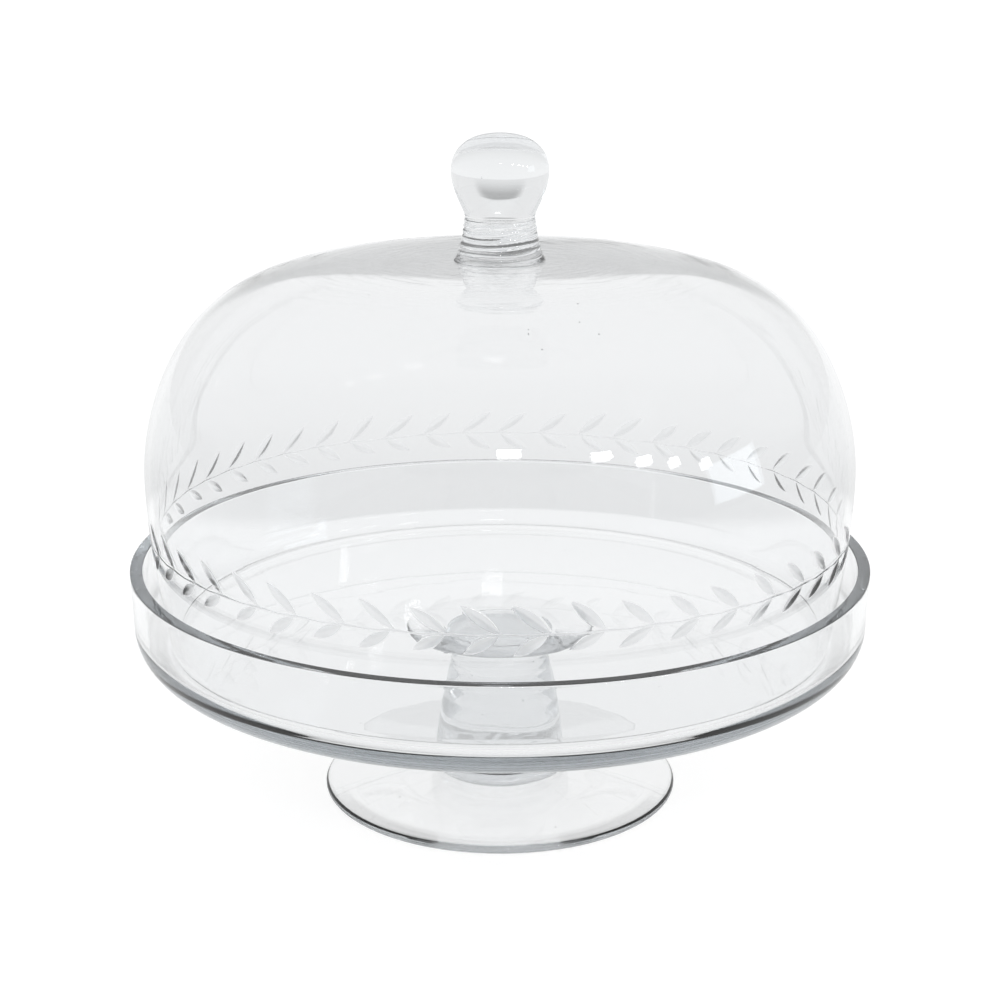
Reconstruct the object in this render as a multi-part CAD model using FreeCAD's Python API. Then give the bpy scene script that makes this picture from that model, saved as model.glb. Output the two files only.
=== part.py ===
import FreeCAD, Part
import math
import os

# Handmade clear glass cake stand with a lift-off dome.
# Millimetres, +Z up, table top at Z = 0, everything turned about the Z axis.
# Profiles are lists of (radius, height) pairs.

# Foot: shallow cone with a rounded edge, ground flat on a ring underneath
FOOT_RADIUS = 73.4
FOOT_EDGE_THICKNESS = 3.0
FOOT_PAD_HEIGHT = 8.0
FOOT_SEAT_INNER_RADIUS = 64.0
FOOT_HOLLOW_DEPTH = 2.5

# Wafers: discs of glass that join foot, stem and tray; the upper one thins towards its edge
LOWER_WAFER_RADIUS = 29.0
LOWER_WAFER_THICKNESS = 5.0
UPPER_WAFER_RADIUS = 39.0
UPPER_WAFER_THICKNESS = 2.6
UPPER_WAFER_EDGE = 0.6

# Stem: solid column, wide at the foot and narrowest just under the tray
STEM_FOOT_RADIUS = 27.0
STEM_WAIST_RADIUS = 20.6
STEM_TOP_RADIUS = 22.4

# Tray: straight wall, rounded heel, thick flat floor, ground lip with eased edges
TRAY_UNDERSIDE = 62.5
TRAY_FLOOR = 71.8
TRAY_RIM_HEIGHT = 100.7
TRAY_RIM_RADIUS = 150.0
TRAY_WALL_BASE_RADIUS = 149.3
TRAY_WALL_THICKNESS = 5.0
TRAY_LIP_EASING = 0.5
TRAY_HEEL_RADIUS = 16.0
TRAY_INNER_CORNER_RADIUS = 7.0

# Dome: blown bell that stands on the tray floor
DOME_RIM_RADIUS = 134.6
DOME_BELLY_RADIUS = 142.6
DOME_BELLY_HEIGHT = 140.4
DOME_TOP_HEIGHT = 221.3
DOME_WALL_THICKNESS = 2.8
DOME_CROWN_THICKNESS = 3.2
DOME_THICKENING_START = 110.0
DOME_THICKENING_END = 221.0
DOME_SHOULDER_POWER = 0.409
DOME_CROWN_POWER = 1.168
DOME_SIDE_STATIONS = 5
DOME_SHOULDER_STATIONS = 10
DOME_LIP_ROUND = 0.9

# Collar: gather of glass with turned rings between dome and knob
COLLAR_TOP_HEIGHT = 238.0
COLLAR_TOP_RADIUS = 13.9
COLLAR_BASE_RADIUS = 18.6
COLLAR_RING_COUNT = 7
COLLAR_RING_DEPTH = 0.45

# Knob: flattened solid ball running down into the collar
KNOB_PROFILE = [
    (13.9, 238.0),
    (14.5, 241.0),
    (16.0, 244.2),
    (17.35, 247.4),
    (18.45, 250.6),
    (19.4, 256.0),
    (19.0, 260.0),
    (17.8, 263.2),
    (15.4, 266.3),
    (11.2, 269.1),
    (6.0, 270.6),
    (0.0, 271.1),
]

# Vine cut with a V-edged wheel round the outside of the dome
VINE_HEIGHT = 116.0
VINE_LINE_WIDTH = 0.7
VINE_LINE_DEPTH = 0.22
LEAF_PAIRS = 48
LEAF_DEPTH = 0.7
LEAF_WHEEL_HALF_ANGLE = 72.0
LEAF_GAP_TO_LINE = 0.4
UPPER_LEAF_LENGTH = 17.4
UPPER_LEAF_SLANT = 38.0
LOWER_LEAF_LENGTH = 14.2
LOWER_LEAF_SLANT = 30.0
LOWER_LEAF_LAG = 1.2


def point(radius, height):
    return FreeCAD.Vector(radius, 0, height)


def line(start, end):
    return Part.LineSegment(point(*start), point(*end)).toShape()


def arc(start, middle, end):
    return Part.Arc(point(*start), point(*middle), point(*end)).toShape()


def quarter_arc(centre, radius, from_degrees, to_degrees):
    """Arc about a centre in the profile plane, angles from the outward direction."""
    stations = []
    for degrees in (from_degrees, (from_degrees + to_degrees) / 2.0, to_degrees):
        angle = math.radians(degrees)
        stations.append((centre[0] + radius * math.cos(angle), centre[1] + radius * math.sin(angle)))
    return arc(*stations)


def spline(stations, start_direction=None, end_direction=None):
    """Smooth curve through (radius, height) pairs."""
    curve = Part.BSplineCurve()
    points = [point(*station) for station in stations]
    if start_direction and end_direction:
        curve.interpolate(
            Points=points,
            InitialTangent=point(*start_direction),
            FinalTangent=point(*end_direction),
        )
    else:
        curve.interpolate(Points=points)
    return curve


def turned(edges):
    """Solid of revolution of a closed profile about the Z axis."""
    wire = Part.Wire(Part.__sortEdges__(edges))
    face = Part.Face(wire)
    solid = face.revolve(FreeCAD.Vector(0, 0, 0), FreeCAD.Vector(0, 0, 1), 360)
    if solid.ShapeType != "Solid":
        solid = Part.makeSolid(solid)
    if solid.Volume < 0:
        solid.reverse()
    return solid


def foot():
    edge = FOOT_EDGE_THICKNESS / 2.0
    slope = math.atan2(
        FOOT_PAD_HEIGHT - FOOT_EDGE_THICKNESS,
        FOOT_RADIUS - LOWER_WAFER_RADIUS,
    )
    centre = (FOOT_RADIUS - edge, edge)
    shoulder = (
        centre[0] + edge * math.sin(slope),
        centre[1] + edge * math.cos(slope),
    )
    bottom = (centre[0], 0.0)
    hollow_middle = (FOOT_SEAT_INNER_RADIUS / 2.0, FOOT_HOLLOW_DEPTH * 0.75)
    edges = [
        arc(bottom, (FOOT_RADIUS, edge), shoulder),
        line(shoulder, (LOWER_WAFER_RADIUS, FOOT_PAD_HEIGHT)),
        line((LOWER_WAFER_RADIUS, FOOT_PAD_HEIGHT), (0.0, FOOT_PAD_HEIGHT)),
        line((0.0, FOOT_PAD_HEIGHT), (0.0, FOOT_HOLLOW_DEPTH)),
        arc((0.0, FOOT_HOLLOW_DEPTH), hollow_middle, (FOOT_SEAT_INNER_RADIUS, 0.0)),
        line((FOOT_SEAT_INNER_RADIUS, 0.0), bottom),
    ]
    return turned(edges)


def wafer(radius, base, thickness):
    """Disc with a fully rounded edge."""
    edge = thickness / 2.0
    top = base + thickness
    edges = [
        line((0.0, base), (radius - edge, base)),
        arc((radius - edge, base), (radius, base + edge), (radius - edge, top)),
        line((radius - edge, top), (0.0, top)),
        line((0.0, top), (0.0, base)),
    ]
    return turned(edges)


def upper_wafer(base):
    """Disc whose flat top is fused to the tray and whose underside thins outwards."""
    edge = UPPER_WAFER_EDGE / 2.0
    top = base + UPPER_WAFER_THICKNESS
    inner = STEM_TOP_RADIUS + 1.0
    slope = math.atan2(UPPER_WAFER_THICKNESS - UPPER_WAFER_EDGE, UPPER_WAFER_RADIUS - edge - inner)
    centre = (UPPER_WAFER_RADIUS - edge, top - edge)
    under = (centre[0] + edge * math.sin(slope), centre[1] - edge * math.cos(slope))
    edges = [
        line((0.0, base), (inner, base)),
        line((inner, base), under),
        arc(under, (UPPER_WAFER_RADIUS, centre[1]), (centre[0], top)),
        line((centre[0], top), (0.0, top)),
        line((0.0, top), (0.0, base)),
    ]
    return turned(edges)


def stem(base, top):
    height = top - base
    side = spline(
        [
            (STEM_FOOT_RADIUS, base),
            (STEM_WAIST_RADIUS + 5.0, base + 0.20 * height),
            (STEM_WAIST_RADIUS + 3.5, base + 0.42 * height),
            (STEM_WAIST_RADIUS + 1.4, base + 0.64 * height),
            (STEM_WAIST_RADIUS, base + 0.84 * height),
            (STEM_TOP_RADIUS, top),
        ]
    )
    edges = [
        line((0.0, base), (STEM_FOOT_RADIUS, base)),
        side.toShape(),
        line((STEM_TOP_RADIUS, top), (0.0, top)),
        line((0.0, top), (0.0, base)),
    ]
    return turned(edges)


def tray():
    easing = TRAY_LIP_EASING
    lip_base = TRAY_RIM_HEIGHT - easing
    heel_centre = (TRAY_WALL_BASE_RADIUS - TRAY_HEEL_RADIUS, TRAY_UNDERSIDE + TRAY_HEEL_RADIUS)
    inner_wall = TRAY_WALL_BASE_RADIUS - TRAY_WALL_THICKNESS
    inner_rim = TRAY_RIM_RADIUS - TRAY_WALL_THICKNESS
    corner = TRAY_INNER_CORNER_RADIUS
    corner_centre = (inner_wall - corner, TRAY_FLOOR + corner)
    edges = [
        line((0.0, TRAY_UNDERSIDE), (heel_centre[0], TRAY_UNDERSIDE)),
        quarter_arc(heel_centre, TRAY_HEEL_RADIUS, -90.0, 0.0),
        line((TRAY_WALL_BASE_RADIUS, heel_centre[1]), (TRAY_RIM_RADIUS, lip_base)),
        quarter_arc((TRAY_RIM_RADIUS - easing, lip_base), easing, 0.0, 90.0),
        line((TRAY_RIM_RADIUS - easing, TRAY_RIM_HEIGHT), (inner_rim + easing, TRAY_RIM_HEIGHT)),
        quarter_arc((inner_rim + easing, lip_base), easing, 90.0, 180.0),
        line((inner_rim, lip_base), (inner_wall, corner_centre[1])),
        quarter_arc(corner_centre, corner, 0.0, -90.0),
        line((corner_centre[0], TRAY_FLOOR), (0.0, TRAY_FLOOR)),
        line((0.0, TRAY_FLOOR), (0.0, TRAY_UNDERSIDE)),
    ]
    return turned(edges)


def dome_stations():
    """Outside of the dome from just above its lip to the middle of the crown."""
    start = TRAY_FLOOR + DOME_LIP_ROUND
    stations = []
    for index in range(DOME_SIDE_STATIONS):
        share = index / float(DOME_SIDE_STATIONS)
        swell = 1.0 - (1.0 - share) ** 2
        radius = DOME_RIM_RADIUS + (DOME_BELLY_RADIUS - DOME_RIM_RADIUS) * swell
        stations.append((radius, start + (DOME_BELLY_HEIGHT - start) * share))
    for index in range(DOME_SHOULDER_STATIONS + 1):
        turn = math.pi / 2.0 * index / DOME_SHOULDER_STATIONS
        across = max(math.cos(turn), 0.0) ** DOME_SHOULDER_POWER
        rise = math.sin(turn) ** DOME_CROWN_POWER
        if index == DOME_SHOULDER_STATIONS:
            across = 0.0
        height = DOME_BELLY_HEIGHT + (DOME_TOP_HEIGHT - DOME_BELLY_HEIGHT) * rise
        stations.append((DOME_BELLY_RADIUS * across, height))
    return stations


def dome_thickness(height):
    """Blown wall: thin at the side, gathering towards the crown."""
    share = (height - DOME_THICKENING_START) / (DOME_THICKENING_END - DOME_THICKENING_START)
    share = min(max(share, 0.0), 1.0)
    extra = DOME_CROWN_THICKNESS - DOME_WALL_THICKNESS
    return DOME_WALL_THICKNESS + extra * share * share * (3.0 - 2.0 * share)


def dome_curves():
    outer = dome_stations()
    lean = (outer[1][0] - outer[0][0], outer[1][1] - outer[0][1])
    outside = spline(outer, lean, (-1.0, 0.0))
    inner = []
    for station in outer[:-1]:
        where = outside.parameter(point(*station))
        tangent = outside.tangent(where)[0]
        normal = FreeCAD.Vector(-tangent.z, 0, tangent.x)
        moved = point(*station) + normal * dome_thickness(station[1])
        inner.append((moved.x, moved.z))
    inner[0] = (inner[0][0], outer[0][1])
    inner.append((0.0, DOME_TOP_HEIGHT - DOME_CROWN_THICKNESS))
    inside = spline(inner, lean, (-1.0, 0.0))
    return outer, outside, inner, inside


def dome_blank():
    outer, outside, inner, inside = dome_curves()
    sag = DOME_LIP_ROUND * (1.0 - math.sqrt(0.5))
    out_r, out_z = outer[0]
    in_r = inner[0][0]
    seat_out = (out_r - DOME_LIP_ROUND, TRAY_FLOOR)
    seat_in = (in_r + DOME_LIP_ROUND, TRAY_FLOOR)
    edges = [
        outside.toShape(),
        line((0.0, DOME_TOP_HEIGHT), inner[-1]),
        inside.toShape(),
        arc((in_r, out_z), (in_r + sag, TRAY_FLOOR + sag), seat_in),
        line(seat_in, seat_out),
        arc(seat_out, (out_r - sag, TRAY_FLOOR + sag), (out_r, out_z)),
    ]
    return turned(edges)


def dome_core():
    """Everything inside the dome's outer skin, for trimming what sits on it."""
    outer, outside, inner, inside = dome_curves()
    edges = [
        outside.toShape(),
        line((0.0, DOME_TOP_HEIGHT), (0.0, outer[0][1])),
        line((0.0, outer[0][1]), outer[0]),
    ]
    return turned(edges)


def skin_at(height):
    """Radius and outward direction of the dome's skin at a height."""
    outside = dome_curves()[1]
    level = Part.LineSegment(point(1.0, height), point(TRAY_RIM_RADIUS + 20.0, height))
    hit = outside.intersect(level)[0]
    where = outside.parameter(FreeCAD.Vector(hit.X, hit.Y, hit.Z))
    tangent = outside.tangent(where)[0]
    normal = FreeCAD.Vector(tangent.z, 0, -tangent.x)
    if normal.x < 0:
        normal = normal * -1.0
    return hit.X, normal.normalize()


def vine_line():
    """V-shaped ring cut for the vine's stalk."""
    radius, normal = skin_at(VINE_HEIGHT)
    half = VINE_LINE_WIDTH
    reach = 2.0 * VINE_LINE_DEPTH
    tip = (radius - VINE_LINE_DEPTH, VINE_HEIGHT)
    upper = (tip[0] + reach, VINE_HEIGHT + half)
    lower = (tip[0] + reach, VINE_HEIGHT - half)
    return turned([line(tip, upper), line(upper, lower), line(lower, tip)])


def leaf_cutter(length):
    """Piece of a V-edged wheel; its tip touches the origin and it stands along +X.

    The leaf it leaves lies along the Y axis.
    """
    bend = 8.0 * LEAF_DEPTH / (length * length) - 1.0 / DOME_BELLY_RADIUS
    wheel = 1.0 / bend
    rise = 3.0 * LEAF_DEPTH
    half_width = rise * math.tan(math.radians(LEAF_WHEEL_HALF_ANGLE))
    tip = FreeCAD.Vector(-wheel, 0, 0)
    left = FreeCAD.Vector(-wheel + rise, 0, half_width)
    right = FreeCAD.Vector(-wheel + rise, 0, -half_width)
    face = Part.Face(Part.makePolygon([tip, left, right, tip]))
    sweep = math.degrees(2.0 * math.asin(0.68 * length / wheel))
    face.rotate(FreeCAD.Vector(0, 0, 0), FreeCAD.Vector(0, 0, 1), -sweep / 2.0)
    cutter = face.revolve(FreeCAD.Vector(0, 0, 0), FreeCAD.Vector(0, 0, 1), sweep)
    cutter.translate(FreeCAD.Vector(wheel - LEAF_DEPTH, 0, 0))
    return cutter


def leaf_row(length, slant, side, lag):
    """One leaf per pair, all on one side of the stalk, pointing round the dome."""
    half = length / 2.0
    tilt = math.radians(slant)
    up = side * (LEAF_GAP_TO_LINE + half * math.sin(tilt))
    along = half * math.cos(tilt) + lag
    radius, normal = skin_at(VINE_HEIGHT + up)
    lean = math.degrees(math.atan2(normal.z, normal.x))
    model = leaf_cutter(length)
    model.rotate(FreeCAD.Vector(0, 0, 0), FreeCAD.Vector(1, 0, 0), -side * slant)
    model.rotate(FreeCAD.Vector(0, 0, 0), FreeCAD.Vector(0, 1, 0), -lean)
    model.translate(FreeCAD.Vector(radius, 0, VINE_HEIGHT + up))
    cutters = []
    for index in range(LEAF_PAIRS):
        turn = 360.0 * index / LEAF_PAIRS - math.degrees(along / radius)
        cutter = model.copy()
        cutter.rotate(FreeCAD.Vector(0, 0, 0), FreeCAD.Vector(0, 0, 1), turn)
        cutters.append(cutter)
    return cutters


def dome():
    shape = dome_blank().cut(vine_line())
    shape = shape.cut(leaf_row(UPPER_LEAF_LENGTH, UPPER_LEAF_SLANT, 1, 0.0))
    shape = shape.cut(leaf_row(LOWER_LEAF_LENGTH, LOWER_LEAF_SLANT, -1, LOWER_LEAF_LAG))
    return shape


def collar():
    """Ringed neck, trimmed to sit on the crown of the dome."""
    foot_height = DOME_TOP_HEIGHT - DOME_WALL_THICKNESS / 2.0
    pitch = (COLLAR_TOP_HEIGHT - foot_height) / COLLAR_RING_COUNT
    edges = []
    start = (COLLAR_TOP_RADIUS, COLLAR_TOP_HEIGHT)
    for index in range(COLLAR_RING_COUNT):
        share = (index + 1) / float(COLLAR_RING_COUNT)
        spread = (COLLAR_BASE_RADIUS - COLLAR_TOP_RADIUS) * share ** 1.6
        end = (COLLAR_TOP_RADIUS + spread, COLLAR_TOP_HEIGHT - pitch * (index + 1))
        middle = (
            (start[0] + end[0]) / 2.0 + COLLAR_RING_DEPTH,
            (start[1] + end[1]) / 2.0,
        )
        edges.append(arc(start, middle, end))
        start = end
    edges.append(line(start, (0.0, foot_height)))
    edges.append(line((0.0, foot_height), (0.0, COLLAR_TOP_HEIGHT)))
    edges.append(line((0.0, COLLAR_TOP_HEIGHT), (COLLAR_TOP_RADIUS, COLLAR_TOP_HEIGHT)))
    return turned(edges).cut(dome_core())


def knob():
    side = spline(KNOB_PROFILE, (-0.2, 1.0), (-1.0, 0.0))
    base = KNOB_PROFILE[0]
    top = KNOB_PROFILE[-1]
    edges = [
        side.toShape(),
        line(top, (0.0, base[1])),
        line((0.0, base[1]), base),
    ]
    return turned(edges)


def main():
    os.makedirs("parts", exist_ok=True)
    stem_base = FOOT_PAD_HEIGHT + LOWER_WAFER_THICKNESS
    stem_top = TRAY_UNDERSIDE - UPPER_WAFER_THICKNESS
    nodes = {
        "foot": foot(),
        "lower_wafer": wafer(LOWER_WAFER_RADIUS, FOOT_PAD_HEIGHT, LOWER_WAFER_THICKNESS),
        "stem": stem(stem_base, stem_top),
        "upper_wafer": upper_wafer(stem_top),
        "tray": tray(),
        "dome": dome(),
        "collar": collar(),
        "knob": knob(),
    }
    for name, shape in nodes.items():
        shape.exportStep("parts/" + name + ".step")
        box = shape.BoundBox
        print(
            "%-12s valid=%s solids=%d faces=%d volume=%.1f cm3  r=%.2f  z=%.2f..%.2f"
            % (
                name,
                shape.isValid(),
                len(shape.Solids),
                len(shape.Faces),
                shape.Volume / 1000.0,
                box.XMax,
                box.ZMin,
                box.ZMax,
            )
        )


main()
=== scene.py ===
import math

import bpy
import numpy as np
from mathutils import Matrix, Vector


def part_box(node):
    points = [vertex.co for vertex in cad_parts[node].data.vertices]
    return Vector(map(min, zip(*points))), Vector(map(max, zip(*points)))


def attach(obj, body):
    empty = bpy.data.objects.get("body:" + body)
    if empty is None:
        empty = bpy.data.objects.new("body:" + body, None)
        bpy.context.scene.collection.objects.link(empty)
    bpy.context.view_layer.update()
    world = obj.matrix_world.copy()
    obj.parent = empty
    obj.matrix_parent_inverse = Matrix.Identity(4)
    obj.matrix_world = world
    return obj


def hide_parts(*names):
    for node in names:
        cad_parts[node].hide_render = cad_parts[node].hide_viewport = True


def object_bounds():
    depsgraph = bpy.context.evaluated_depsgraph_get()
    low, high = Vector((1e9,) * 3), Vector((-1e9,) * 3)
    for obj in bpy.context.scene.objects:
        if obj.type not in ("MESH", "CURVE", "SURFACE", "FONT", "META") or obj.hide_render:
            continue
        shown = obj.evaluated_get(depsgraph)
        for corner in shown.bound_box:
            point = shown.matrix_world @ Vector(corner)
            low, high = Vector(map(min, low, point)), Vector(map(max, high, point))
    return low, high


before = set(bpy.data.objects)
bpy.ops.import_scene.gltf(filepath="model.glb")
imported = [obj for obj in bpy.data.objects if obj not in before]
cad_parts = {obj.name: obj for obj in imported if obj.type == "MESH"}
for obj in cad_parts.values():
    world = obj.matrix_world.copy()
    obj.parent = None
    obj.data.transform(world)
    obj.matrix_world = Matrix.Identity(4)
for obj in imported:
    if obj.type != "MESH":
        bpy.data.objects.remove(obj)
cad_low, cad_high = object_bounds()

MM = 0.001

# ---------------------------------------------------------------- sizes from the CAD frame


def node_size(node):
    """(widest radius, base, top) of a turned CAD node, in millimetres."""
    low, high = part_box(node)
    return high.x / MM, low.z / MM, high.z / MM


TRAY_RIM_RADIUS, TRAY_UNDERSIDE, TRAY_RIM_HEIGHT = node_size("tray")
FOOT_RADIUS, _, FOOT_PAD_HEIGHT = node_size("foot")
LOWER_WAFER_RADIUS, LOWER_WAFER_BASE, LOWER_WAFER_TOP = node_size("lower_wafer")
UPPER_WAFER_RADIUS, UPPER_WAFER_BASE, UPPER_WAFER_TOP = node_size("upper_wafer")
STEM_FOOT_RADIUS, STEM_BASE, STEM_TOP = node_size("stem")
DOME_BELLY_RADIUS, DOME_BASE, DOME_TOP_HEIGHT = node_size("dome")
COLLAR_BASE_RADIUS, COLLAR_BASE, COLLAR_TOP = node_size("collar")
KNOB_RADIUS, KNOB_BASE, KNOB_TOP = node_size("knob")

FOOT_EDGE_THICKNESS = 3.0
FOOT_SEAT_INNER_RADIUS = 64.0
FOOT_HOLLOW_DEPTH = 2.5
FOOT_SEGMENTS = 288
WAFER_SKIRT = 0.6               # how far in from a wafer's side its fused face starts
STEM_TOP_RADIUS = 22.4
STEM_WAIST_RADIUS = 20.6
STEM_SIDE = (                   # (share of the height, radius past the waist)
    (0.84, 0.0),
    (0.64, 1.4),
    (0.42, 3.5),
    (0.20, 5.0),
)
TRAY_FLOOR = DOME_BASE
TRAY_WALL_BASE_RADIUS = TRAY_RIM_RADIUS - 0.7
TRAY_WALL_THICKNESS = 5.0
TRAY_HEEL_RADIUS = 16.0
TRAY_INNER_CORNER_RADIUS = 7.0
TRAY_LIP_EASING = 0.5
UPPER_WAFER_EDGE = 0.6
DOME_RIM_RADIUS = 134.6
DOME_BELLY_HEIGHT = 140.4
DOME_WALL_THICKNESS = 2.8
DOME_CROWN_THICKNESS = 3.2
DOME_THICKENING_START = 110.0
DOME_THICKENING_END = 221.0
DOME_SHOULDER_POWER = 0.409
DOME_CROWN_POWER = 1.168
DOME_LIP_ROUND = 0.9
COLLAR_TOP_RADIUS = 13.9
COLLAR_RING_COUNT = 7
COLLAR_RING_DEPTH = 0.5175
COLLAR_SUNK = 0.4               # how far the collar's base runs into the dome's crown
KNOB_STATIONS = (               # (radius, height) up its side, before fitting to the CAD box
    (13.9, 0.0),
    (14.5, 3.0),
    (16.0, 6.2),
    (17.35, 9.4),
    (18.45, 12.6),
    (19.4, 18.0),
    (19.0, 22.0),
    (17.8, 25.2),
    (15.4, 28.3),
    (11.2, 31.1),
    (6.0, 32.6),
    (0.0, 33.1),
)
KNOB_STATIONS_RADIUS = 19.4
KNOB_STATIONS_HEIGHT = 33.1
FUSED = 0.12                    # how far fused pieces run into each other, so no air gap shows

VINE_HEIGHT = 116.0
VINE_LINE_DEPTH = 0.22
VINE_FLANK_SLOPE = 0.5          # depth lost per millimetre beside the stalk's middle
VINE_WAVE = 0.9
BAND_BELOW_VINE, BAND_ABOVE_VINE = 10.5, 14.5
BAND_ROW_STEP, STALK_ROW_STEP = 0.36, 0.16
STALK_ROWS_REACH = 0.8
LEAF_PAIRS = 48
UPPER_LEAF = (1, 17.4, 38.0, 0.0)       # side of the stalk, length, slant in degrees, lag
LOWER_LEAF = (-1, 14.2, 30.0, 1.2)
LEAF_DEPTH = 0.7
LEAF_GAP_TO_LINE = 0.4
LEAF_FLANK_SLOPE = 0.325        # depth lost per millimetre beside a leaf's middle
LEAF_REACH = 0.075              # radians to each side of a leaf's middle that its cut can reach
UNCUT = -0.3                    # cut depth of glass the wheel hasn't touched
CUT_FULL_DEPTH = 1.0
DOME_FINE_COLUMNS, DOME_COARSE_COLUMNS = 1920, 320
DOME_BUBBLES = 26

# ---------------------------------------------------------------- profile curves


def line(start, end, count):
    share = np.linspace(0.0, 1.0, count)[:, None]
    return np.array(start) * (1 - share) + np.array(end) * share


def arc(centre, radius, from_degrees, to_degrees, count):
    angle = np.radians(np.linspace(from_degrees, to_degrees, count))
    return np.stack([centre[0] + radius * np.cos(angle), centre[1] + radius * np.sin(angle)], 1)


def spline(stations, count, start_direction=None, end_direction=None):
    """Cubic spline through points, by chord length, sampled evenly along its length."""
    points = np.array(stations, float)
    chord = np.r_[0.0, np.cumsum(np.linalg.norm(np.diff(points, axis=0), axis=1))]
    step = np.diff(chord)
    size = len(points)
    matrix = np.zeros((size, size))
    right = np.zeros((size, 2))
    for i in range(1, size - 1):
        matrix[i, i - 1] = step[i]
        matrix[i, i] = 2.0 * (step[i - 1] + step[i])
        matrix[i, i + 1] = step[i - 1]
        before = (points[i] - points[i - 1]) / step[i - 1]
        after = (points[i + 1] - points[i]) / step[i]
        right[i] = 3.0 * (step[i] * before + step[i - 1] * after)
    for row, near, gap, direction in (
        (0, 1, step[0], start_direction),
        (size - 1, size - 2, step[-1], end_direction),
    ):
        if direction is None:
            matrix[row, row] = 2.0
            matrix[row, near] = 1.0
            sign = 1.0 if row == 0 else -1.0
            right[row] = 3.0 * sign * (points[near] - points[row]) / gap
        else:
            matrix[row, row] = 1.0
            right[row] = np.array(direction) / np.linalg.norm(direction)
    slope = np.linalg.solve(matrix, right)
    fine = []
    for i in range(size - 1):
        t = np.linspace(0.0, 1.0, 60, endpoint=i == size - 2)[:, None]
        h = step[i]
        fine.append(
            (2 * t**3 - 3 * t**2 + 1) * points[i]
            + (t**3 - 2 * t**2 + t) * h * slope[i]
            + (-2 * t**3 + 3 * t**2) * points[i + 1]
            + (t**3 - t**2) * h * slope[i + 1]
        )
    return resampled(np.concatenate(fine), count)


def resampled(points, count):
    length = np.r_[0.0, np.cumsum(np.linalg.norm(np.diff(points, axis=0), axis=1))]
    where = np.linspace(0.0, length[-1], count)
    return np.stack([np.interp(where, length, points[:, k]) for k in (0, 1)], 1)


def joined(*runs):
    """One profile from runs that meet end to end."""
    profile = [runs[0]]
    for run in runs[1:]:
        profile.append(run[1:])
    return np.concatenate(profile)


# ---------------------------------------------------------------- hand-made unevenness


def swell(turn, height, seed, lobes=(2, 3, 5)):
    """Smooth unevenness round a turned piece, between -1 and 1, the same each run."""
    total = np.zeros_like(turn + height)
    for index, lobe in enumerate(lobes):
        phase = 1.7 * seed + 2.1 * index
        drift = 0.013 * (index + 1) * height
        total = total + np.sin(lobe * turn + phase + drift) / (index + 1.0)
    return total / sum(1.0 / (index + 1.0) for index in range(len(lobes)))


# ---------------------------------------------------------------- turned meshes


def ring(radius, height, columns, shape=None):
    """Points round the axis. shape(turn, radius, height) may move them."""
    if radius < 1e-6:
        return np.array([[0.0, 0.0, height]])
    turn = 2.0 * math.pi * np.arange(columns) / columns
    r = np.full(columns, float(radius))
    z = np.full(columns, float(height))
    if shape:
        r, z = shape(turn, r, z)
    return np.stack([r * np.cos(turn), r * np.sin(turn), z], 1)


def stitched(rings, first):
    """Faces between rings whose column counts are equal or whole multiples."""
    faces = []
    for i in range(len(rings) - 1):
        a, b = len(rings[i]), len(rings[i + 1])
        start_a, start_b = first[i], first[i + 1]
        if a == b:
            here = np.arange(a)
            after = (here + 1) % a
            corners = [start_a + here, start_a + after, start_b + after, start_b + here]
            faces += np.stack(corners, 1).tolist()
            continue
        small, large = min(a, b), max(a, b)
        share = large // small
        low, high = (start_a, start_b) if a < b else (start_b, start_a)
        turned_over = a > b
        for k in range(large):
            corner = low if small == 1 else low + k // share
            face = [corner, high + (k + 1) % large, high + k]
            faces.append(face[::-1] if turned_over else face)
            if small > 1 and (k + 1) % share == 0:
                face = [corner, low + (k // share + 1) % small, high + (k + 1) % large]
                faces.append(face[::-1] if turned_over else face)
    return faces


def seeds(places):
    """Little air bubbles in the glass: (x, y, z, radius, stretch) each, as inside-out spheres."""
    points, faces = [], []
    rows, columns = 7, 10
    for x, y, z, radius, stretch in places:
        start = len(points)
        points.append((x, y, z + radius * stretch))
        for i in range(1, rows):
            tip = math.pi * i / rows
            for k in range(columns):
                turn = 2.0 * math.pi * k / columns
                points.append(
                    (
                        x + radius * math.sin(tip) * math.cos(turn),
                        y + radius * math.sin(tip) * math.sin(turn),
                        z + radius * stretch * math.cos(tip),
                    )
                )
        points.append((x, y, z - radius * stretch))
        last = len(points) - 1
        for k in range(columns):
            after = (k + 1) % columns
            faces.append([start, start + 1 + after, start + 1 + k])
            faces.append([last, last - columns + k, last - columns + after])
            for i in range(rows - 2):
                a = start + 1 + i * columns
                faces.append([a + k, a + after, a + columns + after, a + columns + k])
    return points, faces


def faces_out(rings):
    """True if faces stitched in this order face out, by the sign of the profile's area."""
    r = np.array([np.linalg.norm(one[:, :2], axis=1).mean() for one in rings])
    z = np.array([one[:, 2].mean() for one in rings])
    return np.sum(r * np.roll(z, -1) - np.roll(r, -1) * z) > 0


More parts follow.
